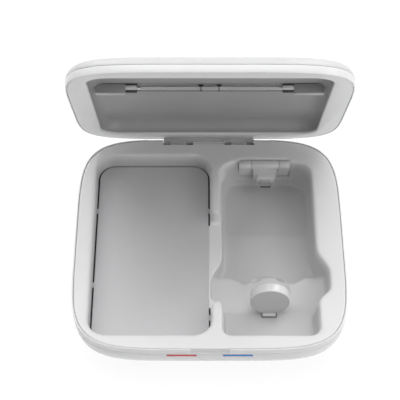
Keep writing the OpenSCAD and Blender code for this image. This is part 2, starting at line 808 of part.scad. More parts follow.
module puck_housing() {
    r = puck_d / 2;
    pin_hole = 0.8 + pin_clearance;
    color([0.95, 0.95, 0.95]) difference() {
        union() {
            translate([puck_x, puck_face_y + puck_t, puck_z]) rotate([90, 0, 0]) rotate_extrude($fn = 96)
                polygon([[0, 0], [r - 1.2, 0], [r - 0.4, 0.4], [r, 1.2], [r, puck_t - 0.3],
                    [r - 0.3, puck_t], [0, puck_t]]);
            rod_x(puck_x - puck_barrel_half, puck_x + puck_barrel_half, puck_pin_y, puck_pin_z,
                puck_barrel_r);
            block(puck_x - toe_w / 2, puck_x + toe_w / 2, puck_face_y - 2.9, puck_pin_y - 1,
                front_floor_z + 0.1, front_floor_z + 1.7);
            block(puck_x - puck_barrel_half, puck_x + puck_barrel_half, puck_pin_y - 2.2, puck_pin_y + 1.8,
                puck_pin_z, puck_pin_z + 2.2);
        }
        // Seat of the charging face, and the cup behind it
        translate([puck_x, puck_face_y + 1.2, puck_z]) rotate([90, 0, 0])
            cylinder(h = 3, r = r - 0.6, $fn = 96);
        translate([puck_x, puck_face_y + 4.6, puck_z]) rotate([90, 0, 0])
            cylinder(h = 4, r = r - 2.4, $fn = 96);
        rod_x(puck_x - 9, puck_x + 9, puck_pin_y, puck_pin_z, pin_hole);
    }
}

module puck_face() {
    color([0.68, 0.68, 0.69]) translate([puck_x, puck_face_y + 1.2, puck_z]) rotate([90, 0, 0])
        rotate_extrude($fn = 96)
            polygon([[0, 0], [puck_d / 2 - 0.7, 0], [puck_d / 2 - 0.7, 1], [puck_d / 2 - 1.2, 1.25],
                [6, 0.95], [0, 0.8]]);
}

module puck_coil() {
    color([0.72, 0.43, 0.24]) translate([puck_x, puck_face_y + 3, puck_z]) rotate([90, 0, 0]) difference() {
        cylinder(h = 1.6, r = 10.5);
        translate([0, 0, -1]) cylinder(h = 4, r = 5);
    }
}

module puck_magnet() {
    color([0.62, 0.62, 0.65]) translate([puck_x, puck_face_y + 4.4, puck_z]) rotate([90, 0, 0])
        cylinder(h = 2.6, r = 4.5);
}

// ---- Flip-up connector ----

module connector_arm() {
    plug_z = conn_z - plug_drop;
    color([0.88, 0.88, 0.88]) difference() {
        union() {
            rod_x(conn_mid0, conn_mid1, conn_y, conn_z, conn_r);
            block(conn_mid0 + 1.5, conn_mid1 - 1.5, conn_y - 1.6, conn_y + 1.6, plug_z - 3.4, conn_z);
            block(conn_x - 6, conn_x + 7.9, conn_y - 5.2, conn_y, plug_z - 3, plug_z + 3);
        }
        rod_x(conn_mid0 - 1, conn_mid1 + 1, conn_y, conn_z, conn_pin_r + pin_clearance);
        block(conn_x - 3.2, conn_x + 5.1, conn_y - 6, conn_y - 2.2, plug_z - 1.25, plug_z + 1.25);
    }
}

module connector_plug() {
    plug_z = conn_z - plug_drop;
    color([0.75, 0.75, 0.77]) difference() {
        block(conn_x - 3.2, conn_x + 5.1, conn_y - 11.7, conn_y - 2.2, plug_z - 1.25, plug_z + 1.25);
        block(conn_x - 2.5, conn_x + 4.4, conn_y - 12, conn_y - 6.5, plug_z - 0.5, plug_z + 0.5);
    }
}

bottom_shell();
base_frame();
tray_deck();
phone_tub();
device_tub();
charging_platform();
phone_coil();
ferrite_disc();
coil_carrier();
main_board();
board_components();
board_screws();
usb_c_socket();
bottom_screws();
rubber_feet();
button_board();
tact_switches();
lid_sensor();
base_magnets();
hinge_troughs();
hinge_pins();
friction_sleeves();
connector_bracket();
connector_pin();
puck_pin();
left_button();
right_button();
lid_cover();
lid_frame();
lid_liner();
hinge_leaf();
leaf_screws();
uv_lamp();
lamp_caps();
lamp_housings();
lamp_clip();
lamp_driver_board();
driver_components();
lid_magnets();
puck_housing();
puck_face();
puck_coil();
puck_magnet();
connector_arm();
connector_plug();
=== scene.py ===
import math
import bmesh
import bpy
from mathutils import Matrix, Vector


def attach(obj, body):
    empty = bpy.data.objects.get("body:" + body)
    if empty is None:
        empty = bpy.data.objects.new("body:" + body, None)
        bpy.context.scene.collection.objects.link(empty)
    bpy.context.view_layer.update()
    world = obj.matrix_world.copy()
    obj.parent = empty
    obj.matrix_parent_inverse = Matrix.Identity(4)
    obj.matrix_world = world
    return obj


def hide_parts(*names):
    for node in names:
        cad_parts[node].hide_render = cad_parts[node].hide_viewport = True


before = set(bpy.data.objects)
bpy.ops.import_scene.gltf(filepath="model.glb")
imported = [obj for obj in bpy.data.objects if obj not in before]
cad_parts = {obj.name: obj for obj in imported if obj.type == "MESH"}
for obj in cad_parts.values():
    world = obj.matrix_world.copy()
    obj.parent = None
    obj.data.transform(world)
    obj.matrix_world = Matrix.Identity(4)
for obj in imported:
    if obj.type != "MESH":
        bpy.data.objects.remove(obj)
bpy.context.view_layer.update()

# ----------------------------------------------------------------------------
# Bottom shell. The lower casing is one white gloss moulding with a broad rounded underside.
# It is drawn from a flat blank, and its openings are cut for the buttons, the inlet at the
# rear, the two hinge troughs, the feet and the screws.
# ----------------------------------------------------------------------------
mm = 0.001
HALF_X, HALF_Y = 97, 95          # the outline of the box, over its outer bands
SEAM, BASE_TOP = 28.6, 33.5      # heights of the top of the shell and of the band on it
CORNER = 0.7698                  # bevel profile of the outline's squarish round corner


def deselect():
    bpy.ops.object.select_all(action="DESELECT")


def work_on(piece):
    deselect()
    piece.select_set(True)
    bpy.context.view_layer.objects.active = piece


def edit(piece):
    work_on(piece)
    bpy.ops.object.mode_set(mode="EDIT")


def leave_edit():
    bpy.ops.object.mode_set(mode="OBJECT")


def pick(piece, kind, test):
    """In edit mode, selects the verts, edges or faces whose middle and direction pass."""
    bpy.context.tool_settings.mesh_select_mode = [
        kind == each for each in ("verts", "edges", "faces")]
    bpy.ops.mesh.select_all(action="DESELECT")
    shape = bmesh.from_edit_mesh(piece.data)
    for part in getattr(shape, kind):
        if kind == "verts":
            middle, way = part.co, part.normal
        elif kind == "edges":
            middle = (part.verts[0].co + part.verts[1].co) / 2
            way = (part.verts[1].co - part.verts[0].co).normalized()
        else:
            middle, way = part.calc_center_median(), part.normal
        part.select_set(bool(test(middle / mm, way)))
    shape.select_flush_mode()
    bmesh.update_edit_mesh(piece.data)


def round_edges(piece, width, steps, test):
    """In edit mode, rounds the edges whose middle and direction pass."""
    pick(piece, "edges", test)
    bpy.ops.mesh.bevel(offset=width * mm, segments=steps, affect="EDGES")


def block(name, x0, x1, y0, y1, z0, z1, round_up=0.0, steps=6, soft=0.0):
    """A block between places in mm, its upright edges rounded, its other edges eased."""
    deselect()
    bpy.ops.mesh.primitive_cube_add(size=1)
    made = bpy.context.object
    made.name = name
    made.scale = ((x1 - x0) * mm, (y1 - y0) * mm, (z1 - z0) * mm)
    made.location = ((x0 + x1) / 2 * mm, (y0 + y1) / 2 * mm, (z0 + z1) / 2 * mm)
    bpy.ops.object.transform_apply(location=True, rotation=True, scale=True)
    if round_up:
        edit(made)
        round_edges(made, round_up, steps, lambda p, way: abs(way.z) > 0.9)
        leave_edit()
    if soft:
        ease(made, soft)
    return made


def rod(name, start, along, length, radius, sides=48, soft=0.0):
    """A cylinder from a place in mm, along an axis letter."""
    deselect()
    turn, step = {"x": ((0, math.pi / 2, 0), (1, 0, 0)),
                  "y": ((math.pi / 2, 0, 0), (0, 1, 0)), "z": ((0, 0, 0), (0, 0, 1))}[along]
    middle = [(s + v * length / 2) * mm for s, v in zip(start, step)]
    bpy.ops.mesh.primitive_cylinder_add(vertices=sides, radius=radius * mm, depth=length * mm,
                                        location=middle, rotation=turn)
    made = bpy.context.object
    made.name = name
    bpy.ops.object.transform_apply(location=True, rotation=True, scale=True)
    if soft:
        ease(made, soft)
    return made


def apply_modifier(piece, kind, **values):
    work_on(piece)
    added = piece.modifiers.new("work", kind)
    for key, value in values.items():
        setattr(added, key, value)
    bpy.ops.object.modifier_apply(modifier=added.name)


def ease(piece, width, steps=2, angle=30):
    """Eases every edge sharper than the angle."""
    apply_modifier(piece, "BEVEL", width=width * mm, segments=steps, limit_method="ANGLE",
                   angle_limit=math.radians(angle), use_clamp_overlap=True)


def cut(piece, *tools):
    for tool in tools:
        apply_modifier(piece, "BOOLEAN", operation="DIFFERENCE", object=tool, solver="EXACT")
        bpy.data.objects.remove(tool)


def squircle(name, inset, low, high, steps=36):
    """A flat blank with the outline of the whole box, drawn in by an inset: a square block
    beveled to the middle of its sides and then widened."""
    half_x, half_y = HALF_X - inset, HALF_Y - inset
    made = block(name, -half_y, half_y, -half_y, half_y, low, high)
    edit(made)
    pick(made, "edges", lambda p, way: abs(way.z) > 0.9)
    bpy.ops.mesh.bevel(offset=half_y * mm * 0.9998, segments=steps, profile=CORNER,
                       affect="EDGES", clamp_overlap=False)
    bpy.ops.mesh.select_all(action="SELECT")
    bpy.ops.mesh.remove_doubles(threshold=0.08 * mm)
    bpy.ops.transform.resize(value=(half_x / half_y, 1, 1), center_override=(0, 0, 0))
    leave_edit()
    return made


def on_outline(p, inset=0):
    return abs(p.x / (HALF_X - inset)) ** 5.3 + abs(p.y / (HALF_Y - inset)) ** 5.3 > 0.97


def terrace(piece, steps):
    """Draws the selected face in and out of itself, step by step, in mm."""
    for thickness, rise in steps:
        bpy.ops.mesh.inset(thickness=thickness * mm, depth=rise * mm)


def finish_group(name, masks, *inputs):
    """Node group for a finish. It takes two tints, the limits of its gloss and the inputs
    given. One mask mixes the tints, and a fine one makes the gloss and the height."""
    group = bpy.data.node_groups.new(name, "ShaderNodeTree")
    add, link, new_socket = group.nodes.new, group.links.new, group.interface.new_socket
    for label, kind, value in (("Tint", "Color", (0.8, 0.8, 0.8, 1)),
                               ("Second Tint", "Color", (0.75, 0.75, 0.75, 1)),
                               ("Gloss Low", "Float", 0.2), ("Gloss High", "Float", 0.3),
                               *inputs):
        socket = new_socket(name=label, in_out="INPUT", socket_type="NodeSocket" + kind)
        socket.default_value = value
    for label, kind in (("Color", "Color"), ("Roughness", "Float"), ("Height", "Float")):
        new_socket(name=label, in_out="OUTPUT", socket_type="NodeSocket" + kind)
    enter, leave = add("NodeGroupInput"), add("NodeGroupOutput")
    tint, gloss = add("ShaderNodeMix"), add("ShaderNodeMapRange")
    tint.data_type = "RGBA"
    tint_mask, fine_mask = masks(add, link, enter.outputs)
    link(tint_mask, tint.inputs["Factor"])
    link(enter.outputs["Tint"], tint.inputs["A"])
    link(enter.outputs["Second Tint"], tint.inputs["B"])
    link(fine_mask, gloss.inputs["Value"])
    link(enter.outputs["Gloss Low"], gloss.inputs["To Min"])
    link(enter.outputs["Gloss High"], gloss.inputs["To Max"])
    link(tint.outputs["Result"], leave.inputs["Color"])
    link(gloss.outputs["Result"], leave.inputs["Roughness"])
    link(fine_mask, leave.inputs["Height"])
    return group


def moulded_masks(add, link, given):
    """Moulded plastic: a faint cloudy change, and the fine grain of the mould."""
    place = add("ShaderNodeTexCoord")
    cloud, grain = add("ShaderNodeTexNoise"), add("ShaderNodeTexNoise")
    for noise, detail, scale in ((cloud, 3.0, "Cloud Size"), (grain, 2.0, "Grain Scale")):
        noise.inputs["Detail"].default_value = detail
        link(place.outputs["Object"], noise.inputs["Vector"])
        link(given[scale], noise.inputs["Scale"])
    return cloud.outputs["Fac"], grain.outputs["Fac"]


moulded_skin = finish_group("moulded_skin", moulded_masks, ("Cloud Size", "Float", 30.0),
                            ("Grain Scale", "Float", 1500.0))


def new_material(name):
    """A material, the calls that add and link its nodes, and its shader."""
    made = bpy.data.materials.new(name)
    made.use_nodes = True
    tree = made.node_tree
    return made, tree.nodes.new, tree.links.new, tree.nodes["Principled BSDF"]


def with_finish(name, finish, tint, second_tint, gloss, strength, height, **inputs):
    """A material whose tint, gloss and bump come from the node group of a finish."""
    made, add, link, shader = new_material(name)
    group, bump = add("ShaderNodeGroup"), add("ShaderNodeBump")
    group.node_tree = finish
    for label, value in {"Tint": (*tint, 1), "Second Tint": (*second_tint, 1),
                         "Gloss Low": gloss[0], "Gloss High": gloss[1], **inputs}.items():
        group.inputs[label.replace("_", " ")].default_value = value
    bump.inputs["Strength"].default_value = strength
    bump.inputs["Distance"].default_value = height
    link(group.outputs["Color"], shader.inputs["Base Color"])
    link(group.outputs["Roughness"], shader.inputs["Roughness"])
    link(group.outputs["Height"], bump.inputs["Height"])
    link(bump.outputs["Normal"], shader.inputs["Normal"])
    return made, shader


def plastic(name, tint, cloud_tint, gloss=(0.16, 0.24), grain=1400.0, depth=0.02, coat=0.0,
            ior=1.5):
    """A moulded plastic: tints are shader values, grain is per metre."""
    made, shader = with_finish(name, moulded_skin, tint, cloud_tint, gloss, depth, 0.0002,
                               Grain_Scale=grain)
    shader.inputs["IOR"].default_value = ior
    shader.inputs["Coat Weight"].default_value = coat
    return made


def dress(piece, material, body, slot, *stands_for, smooth=35):
    """Shades a finished piece, gives it its material and lets it ride on its body."""
    work_on(piece)
    bpy.ops.object.shade_smooth_by_angle(angle=math.radians(smooth))
    piece.data.materials.clear()
    piece.data.materials.append(material)
    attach(piece, body)
    if stands_for:
        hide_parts(*stands_for)


shell_white = plastic("shell_white", (0.85, 0.85, 0.855), (0.82, 0.82, 0.83),
                      grain=900, depth=0.015, ior=1.42)

shell = squircle("casing_lower", 0, 27.3, SEAM)
edit(shell)
pick(shell, "faces", lambda p, way: way.z < -0.9)
BELLY = 26                       # radius of the rounded underside
turns = [math.radians(90 - 90 * k / 16) for k in range(17)]
terrace(shell, [(BELLY * (math.sin(a) - math.sin(b)), BELLY * (math.cos(b) - math.cos(a)))
                for a, b in zip(turns, turns[1:])])
pick(shell, "faces", lambda p, way: way.z > 0.9)
bpy.ops.mesh.delete(type="FACE")
leave_edit()
apply_modifier(shell, "SOLIDIFY", thickness=2.2 * mm, offset=-1, use_even_offset=True)
edit(shell)
round_edges(shell, 0.45, 2, lambda p, way: p.z > SEAM - 0.05 and on_outline(p))
leave_edit()
BUTTON_X = 19.2
cut(shell, *[block("slot", x - 10.32, x + 10.32, -97, -91, 25.78, 28.02, soft=0.15)
             for x in (-BUTTON_X, BUTTON_X)])
usb_mouth = block("mouth", -46.67, -37.33, 84, 98, 13.8, 17.4)
edit(usb_mouth)
round_edges(usb_mouth, 1.78, 8, lambda p, way: abs(way.y) > 0.9)
leave_edit()
cut(shell, usb_mouth)


def hinge_pockets(x0, x1, front, low, high):
    """Tools for the two arm pockets. A thin rear wall stays, but for the arm's way out."""
    return [block("pocket", min(s * a, s * b), max(s * a, s * b), front, back, z, high)
            for s in (-1, 1)
            for a, b, back, z in ((x0, x1, 94, low), (x0, x1, 94.3, max(low, 24.4)),
                                  (17.95, 28.75, 97, max(low, 24.4)))]


cut(shell, *hinge_pockets(10.3, 36.3, 87.6, 22.2, 30))
FEET = [(x, y) for x in (-60, 60) for y in (-58, 58)] + [(0, 0)]
SCREWS = [(x, y) for x in (-74, -8) for y in (-58, 24)]
cut(shell, *[rod("seat", (x, y, 0), "z", 2.0, 5.2) for x, y in FEET])
cut(shell, *[rod("bore", (x, y, 0), "z", 6.0, 3.2) for x, y in SCREWS])
dress(shell, shell_white, "base", "shell_white", "bottom_shell")

# ----------------------------------------------------------------------------
# Upper band of the base. A narrow gloss ring glued on the shell; it carries the tray and
# has the finger notch at the front, and at the rear the relief and the two pockets in
# which the arms of the lid's leaf turn.
# ----------------------------------------------------------------------------
band_white = plastic("band_white", (0.87, 0.87, 0.875), (0.84, 0.84, 0.85),
                     grain=900, depth=0.015, ior=1.42)

band = squircle("casing_band", 0, SEAM, BASE_TOP)
edit(band)
round_edges(band, 0.5, 3, lambda p, way: p.z > BASE_TOP - 0.1)
round_edges(band, 0.45, 2, lambda p, way: p.z < SEAM + 0.1)
leave_edit()
LIP, LEDGE = 0.85, 3.4           # insets of the two steps inside both bands of the box
cut(band, squircle("lip", LIP, 31.1, 36))
ledge = squircle("ledge", LEDGE, 26, 31.3)
cut(ledge, block("shelf", -36.1, 36.1, 87.9, 97, 25, 30.1))
cut(band, ledge)
RELIEF = 34.7                    # half width of the relief for the leaf
cut(band, block("step", -46.5, 46.5, 89.9, 97, 32.7, 36),
    block("relief", -RELIEF, RELIEF, 89.9, 97, 30.1, 36),
    *hinge_pockets(11.9, RELIEF, 89.2, 25, 36))
cut(band, block("notch", -13.5, 13.5, -98, -94.2, 32.0, 36, soft=0.3),
    block("notch_groove", -13.3, 13.3, -95.0, -94.0, 29.4, 36))
broken_edge = block("edge", -34.9, 34.9, 94.47, 95.53, 29.57, 30.63)
edit(broken_edge)
bpy.ops.mesh.select_all(action="SELECT")
bpy.ops.transform.rotate(value=math.radians(45), orient_axis="X",
                         center_override=(0, 95 * mm, 30.1 * mm))
leave_edit()
cut(band, broken_edge)
dress(band, band_white, "base", "band_white", "base_frame")

# ----------------------------------------------------------------------------
# Tray. One satin off-white moulding: the deck, the charging well on the left, the device
# recess on the right with its bulge, its ramp and its two scoops, and the low saddle for a
# finger between them. All its edges run soft, as the mould leaves them.
# ----------------------------------------------------------------------------
tray_white = plastic("tray_white", (0.84, 0.84, 0.835), (0.815, 0.815, 0.815),
                     gloss=(0.36, 0.46), grain=1900, depth=0.05)
# Painted shade: the wells are painted a darker grey than the deck, softly from just below its
# edge downwards, for the shade inside them; the saddle between them stays as the deck
tree = tray_white.node_tree
add, link = tree.nodes.new, tree.links.new
place, height = add("ShaderNodeTexCoord"), add("ShaderNodeSeparateXYZ")
link(place.outputs["Object"], height.inputs["Vector"])


def calculate(tree, operation, *values):
    """The result of a math node. A number is set on its socket, a socket is linked to it."""
    made = tree.nodes.new("ShaderNodeMath")
    made.operation = operation
    for socket, value in zip(made.inputs, values):
        if isinstance(value, bpy.types.NodeSocket):
            tree.links.new(value, socket)
        else:
            socket.default_value = value
    return made.outputs["Value"]


def between(value, low, high):
    """A mask on the tray that runs softly from 0 to 1 between two places in mm."""
    made = add("ShaderNodeMapRange")
    made.interpolation_type = "SMOOTHSTEP"
    made.inputs["From Min"].default_value = low * mm
    made.inputs["From Max"].default_value = high * mm
    link(value, made.inputs["Value"])
    return made.outputs["Result"]


beside = calculate(tree, "ABSOLUTE",
                   calculate(tree, "SUBTRACT", height.outputs["X"], 5.5 * mm))
saddle_mask = calculate(tree, "MULTIPLY", between(beside, 8.5, 5.5),
                        between(height.outputs["Z"], 19.7, 21.0))
unshaded_mask = calculate(tree, "MAXIMUM", between(height.outputs["Z"], 24, 32.8), saddle_mask)
group = next(n for n in tree.nodes if n.type == "GROUP")
# The darker tint mixed in down in the wells is painted shade
for label, painted_shade_tint in (("Tint", 0.65), ("Second Tint", 0.62)):
    change = add("ShaderNodeMix")
    change.data_type = "RGBA"
    change.inputs["A"].default_value = (painted_shade_tint, painted_shade_tint, painted_shade_tint, 1)
    change.inputs["B"].default_value = group.inputs[label].default_value
    link(unshaded_mask, change.inputs["Factor"])
    link(change.outputs["Result"], group.inputs[label])


def smooth_step(t):
    t = min(max(t, 0.0), 1.0)
    return t * t * (3 - 2 * t)


RECESS_X, RECESS_HALF = 42.3, 34.3      # middle and half width of the device recess
RECESS_DRAFT, WELL_DRAFT = 0.1176, 0.077     # lean of the walls, as a share of their height


def recess_half(y):
    return RECESS_HALF + 8.4 * smooth_step((-8 - y) / 22) - 9.0 * smooth_step((-42 - y) / 13)


def recess_floor(y):
    """Height of the recess floor along its length: front floor, ramp, crest, rear floor."""
    if y < -50.2:
        return 12.5 - 0.6 * smooth_step((y + 54.5) / 4.3)
    if y < -47:
        return 11.9 + 1.36 * (y + 50.2) / 3.2
    if y < -25:
        return 12.5 + 6.0 * (y + 50.2) / 25.2
    if y < -16:
        return 18.5 - 9.5 * smooth_step((y + 25) / 9)
    return 9.0 - 1.5 * smooth_step((y - 20) / 6)


def tub_underside(y):
    return 10.6 if y < -29 else 5.7


def recess_form(name, grow, top, floor):
    """The recess as a solid, with the bulge in its plan and the floor as its underside.
    Grown by the wall's thickness it is the tub, and as it is, what the tub is hollowed by."""
    y0, y1, middle = -83.5 - grow, 74.1 + grow, -4.7
    made = block(name, RECESS_X - RECESS_HALF, RECESS_X + RECESS_HALF, y0, y1, 0, top)
    draw_in = 0.968                # the floor is this much shorter than the mouth
    front, back = 7, 14            # radii of the corners in plan
    floor_at = (-74, -66, -60, -57, -55, -53, -50.2, -48, -46, -44, -42, -38, -34, -30, -27.5,
                -25, -23.5, -22, -20.5, -19, -17.5, -16, -14, -11, -8, 18, 20, 21.5, 23, 24.5, 26)
    stations = ([y0 + step for step in (0, 0.4, 1.3, 3, 5, 7)]
                + [middle + (y - middle) / draw_in for y in floor_at]
                + [y1 - step for step in (14, 10, 7, 4.5, 2.5, 1.1, 0.3, 0)])
    edit(made)
    for y in stations[1:-1]:
        bpy.ops.mesh.select_all(action="SELECT")
        bpy.ops.mesh.bisect(plane_co=(0, y * mm, 0), plane_no=(0, 1, 0))
    for y in stations:
        loss = 0.0
        if y < y0 + front:
            loss = front - math.sqrt(max(0.0, front ** 2 - (y0 + front - y) ** 2))
        if y > y1 - back:
            loss = back - math.sqrt(max(0.0, back ** 2 - (y - y1 + back) ** 2))
        low_y = middle + (y - middle) * draw_in
        inset = 0.2 + RECESS_DRAFT * (30.5 - floor(low_y))
        for high, half, rise in ((True, recess_half(y) + RECESS_DRAFT * (top - 32.2), 0),
                                 (False, recess_half(low_y) - inset, floor(low_y))):
            pick(made, "verts", lambda p, way: abs(p.y - y) < 0.02 and (p.z > 1) == high)
            bpy.ops.transform.resize(value=((half + grow - loss) / RECESS_HALF, 1, 1),
                                     center_override=(RECESS_X * mm, 0, 0))
            bpy.ops.transform.translate(value=(0, 0 if high else (low_y - y) * mm, rise * mm))
    leave_edit()
    return made


WELL_X, WELL_Y = -41.4, -1.4     # middle of the charging well


def well_form(name, grow, low, top):
    """The charging well as a solid, its walls leaning out a little towards the deck."""
    made = block(name, -84.2 - grow, 1.4 + grow, -82 - grow, 79.2 + grow, low, top,
                 round_up=13 + grow, steps=10)
    edit(made)
    for high, out in ((False, -0.8), (True, WELL_DRAFT * (top - 31))):
        pick(made, "verts", lambda p, way: (p.z > low + 1) == high)
        bpy.ops.transform.resize(value=(1 + out / 42.8, 1 + out / 80.6, 1),
                                 center_override=(WELL_X * mm, WELL_Y * mm, 0))
    leave_edit()
    return made


def weld(piece, *parts):
    for part in parts:
        apply_modifier(piece, "BOOLEAN", operation="UNION", object=part, solver="EXACT")
        bpy.data.objects.remove(part)


TUB_TOP = 31.4                   # the tubs run this far up into the deck
tray = squircle("tray", -0.5, 31.1, BASE_TOP)
weld(tray, well_form("well_tub", 1.8, 17.2, TUB_TOP),
     recess_form("recess_tub", 1.9, TUB_TOP, tub_underside),
     block("divider", -1, 11, -83, 70, 17.2, TUB_TOP),
     block("nest_tub", 25.3, 59.3, -57, -14, 5.7, 12),
     block("connector_tub", 20.8, 63.1, 68, 77.4, 12.8, TUB_TOP))
well = well_form("well", 0, 19.2, 44)
# Along the finger saddle the well's wall meets the platform with no slot
cut(well, block("filler", -0.4, 6, -52, 21, 15, 21.2))
hollow = recess_form("hollow", 0, 44, recess_floor)
ramp_tongue = rod("tongue", (RECESS_X, -33, 5), "z", 15.9, 15, sides=64)
cut(ramp_tongue, block("slice", 20, 70, -60, -50.2, 4, 30))
edit(ramp_tongue)
pick(ramp_tongue, "verts", lambda p, way: p.z > 15)
for vertex in [v for v in bmesh.from_edit_mesh(ramp_tongue.data).verts if v.select]:
    vertex.co.z = recess_floor(vertex.co.y / mm + 0.01) * mm
leave_edit()
cut(ramp_tongue, block("top", 20, 70, -24.5, 0, 17.6, 30))
weld(hollow, *[rod("scoop", (RECESS_X + x, -13, 9), "z", 25, 15, sides=64)
               for x in (-15.5, 15.5)])
cut(hollow, ramp_tongue)
saddle = block("saddle", 0.2, 12, -57.6, 26.8, 21.2, 44)
cut(saddle, *[rod("end", (5, y, 20), "z", 30, 3.6) for y in (26.8, -57.6)])
# The nest that the puck folds into is a disc tilted as the ramp is
nest = rod("nest", (RECESS_X, 0, 0), "z", 12, 14.8, sides=64)
edit(nest)
bpy.ops.mesh.select_all(action="SELECT")
bpy.ops.transform.translate(value=(0, 14.3 * mm, -3.0 * mm))
leave_edit()
nest.matrix_world = (Matrix.Translation((0, -47.6 * mm, 13.5 * mm))
                     @ Matrix.Rotation(math.radians(18.4), 4, "X"))
work_on(nest)
bpy.ops.object.transform_apply(location=True, rotation=True, scale=True)
cut(tray, well, hollow, saddle, nest,
    block("connector_seat", 22.5, 61.4, 68.1, 75.4, 14.4, 44),
    rod("coil_hole", (WELL_X, WELL_Y, 10), "z", 14, 28, sides=64))
apply_modifier(tray, "REMESH", mode="VOXEL", voxel_size=1.05 * mm)
apply_modifier(tray, "SMOOTH", factor=0.5, iterations=4)
trim = squircle("trim", 1.3, 4, 33.1)
edit(trim)
pick(trim, "faces", lambda p, way: way.z > 0.9)
terrace(trim, [(4, 4)])
leave_edit()
cut(trim, block("step", -46.5, 46.5, 89.9, 97, 32.7, 40),
    block("relief", -RELIEF, RELIEF, 89.9, 97, 29, 40),
    *hinge_pockets(11.9, RELIEF, 89.2, 28, 40))
apply_modifier(tray, "BOOLEAN", operation="INTERSECT", object=trim, solver="EXACT")
bpy.data.objects.remove(trim)
# The slot round the charging platform is cut last, so that its edges stay sharp
slot = block("slot", -83.55, 0.75, -81.35, 78.55, 18.95, 21.5, round_up=12.8, steps=12)
cut(slot, block("platform_side", -82.3, -0.5, -80.2, 77.4, 17, 24, round_up=12, steps=14),
    block("saddle_side", -3, 6, -52, 21, 15, 30))
cut(tray, slot, block("barrel_slot", 36.3, 48.3, -50.4, -41.6, 10.9, 34, soft=0.3))
dress(tray, tray_white, "base", "tray_white", "tray_deck", "phone_tub", "device_tub", smooth=50)

# ----------------------------------------------------------------------------
# Charging platform. A light grey satin plate in the charging well, over the coil. Four short
# tabs hold it to the tray across the slot round it, and a black strip in the slot is painted
# shade for the dark of the gap.
# ----------------------------------------------------------------------------
platform_grey = plastic("platform_grey", (0.60, 0.60, 0.61), (0.57, 0.57, 0.58),
                        gloss=(0.38, 0.5), grain=2200, depth=0.06)
platform = block("charging_plate", -82.3, -0.5, -80.2, 77.4, 19.2, 21.2, round_up=12, steps=14)
weld(platform, *[block("tab", x0, x1, y - 2, y + 2, 19.3, 20.9)
                 for x0, x1, y in ((-83.6, -80, -32), (-83.6, -80, 35),
                                   (-3, 0.7, -60), (-3, 0.7, 35))])
ease(platform, 0.35, steps=3)
dress(platform, platform_grey, "base", "platform_grey", "charging_platform")
# The black strip in the slot is painted shade, for the shadowed gap round the plate
slot_shade = block("platform_slot_shade", -83.5, 0.7, -81.3, 78.5, 18.9, 19.6, round_up=12.75, steps=12)
cut(slot_shade, block("inside", -82.2, -0.6, -80.1, 77.3, 17, 24, round_up=11.9, steps=14),
    block("saddle_side", -3, 6, -52, 21, 15, 30))
slot_shade_black = plastic("slot_shade_black", (0.03, 0.03, 0.032), (0.04, 0.04, 0.042),
                     gloss=(0.6, 0.75), grain=2400, depth=0.1)
dress(slot_shade, slot_shade_black, "base", "platform_grey", "charging_platform")

# ----------------------------------------------------------------------------
# Wireless charger under the platform: a flat coil of enamelled copper wire on a ferrite
# disc, in a plastic carrier under the well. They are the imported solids, each finished.
# ----------------------------------------------------------------------------
def finish_node(name, material):
    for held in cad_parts[name].material_slots:
        held.material = material


def wound_copper(name, centre, turn, pitch):
    """Enamelled wire wound flat: rings round a place in mm, as a height and a tint."""
    one_ring = 0.314               # scale of the wave texture with a ring to each metre
    made, add, link, shader = new_material(name)
    place, centred = add("ShaderNodeTexCoord"), add("ShaderNodeMapping")
    centred.vector_type = "TEXTURE"
    centred.inputs["Location"].default_value = [v * mm for v in centre]
    centred.inputs["Rotation"].default_value = turn
    rings = add("ShaderNodeTexWave")
    rings.wave_type = "RINGS"
    rings.rings_direction = "Z"
    rings.inputs["Scale"].default_value = one_ring / (pitch * mm)
    tint = add("ShaderNodeValToRGB")
    tint.color_ramp.elements[0].color = (0.22, 0.075, 0.03, 1)
    tint.color_ramp.elements[1].color = (0.80, 0.36, 0.17, 1)
    bump = add("ShaderNodeBump")
    bump.inputs["Distance"].default_value = 0.0003
    link(place.outputs["Object"], centred.inputs["Vector"])
    link(centred.outputs["Vector"], rings.inputs["Vector"])
    link(rings.outputs["Fac"], tint.inputs["Fac"])
    link(rings.outputs["Fac"], bump.inputs["Height"])
    link(tint.outputs["Color"], shader.inputs["Base Color"])
    link(bump.outputs["Normal"], shader.inputs["Normal"])
    shader.inputs["Metallic"].default_value = 0.9
    shader.inputs["Roughness"].default_value = 0.3
    return made


ferrite = plastic("ferrite", (0.05, 0.05, 0.055), (0.075, 0.07, 0.07), gloss=(0.5, 0.7),
                  grain=2600, depth=0.3)
carrier_white = plastic("carrier_white", (0.72, 0.72, 0.71), (0.68, 0.68, 0.67),
                        gloss=(0.4, 0.5), grain=1500, depth=0.1)
finish_node("phone_coil", wound_copper("coil_copper", (WELL_X, WELL_Y, 18.6), (0, 0, 0), 1.0))
finish_node("ferrite_disc", ferrite)
finish_node("coil_carrier", carrier_white)

# ----------------------------------------------------------------------------
# Main board with its parts and its screws, on posts in the shell, and the inlet at the
# rear. The board is green laminate with copper tracks that show through its lacquer.
# ----------------------------------------------------------------------------
def worked_masks(add, link, given):
    """Worked metal: fine scratches, all drawn along one way."""
    place, drawn = add("ShaderNodeTexCoord"), add("ShaderNodeMapping")
    scratch = add("ShaderNodeTexNoise")
    scratch.inputs["Scale"].default_value = 1.0
    link(place.outputs["Object"], drawn.inputs["Vector"])
    link(given["Scratch Scale"], drawn.inputs["Scale"])
    link(drawn.outputs["Vector"], scratch.inputs["Vector"])
    return scratch.outputs["Fac"], scratch.outputs["Fac"]


worked_metal = finish_group("worked_metal", worked_masks,
                            ("Scratch Scale", "Vector", (200.0, 3000.0, 3000.0)))


def metal(name, tint, scratch_tint, gloss=(0.22, 0.36)):
    made, shader = with_finish(name, worked_metal, tint, scratch_tint, gloss, 0.08, 0.0001)
    shader.inputs["Metallic"].default_value = 1.0
    return made


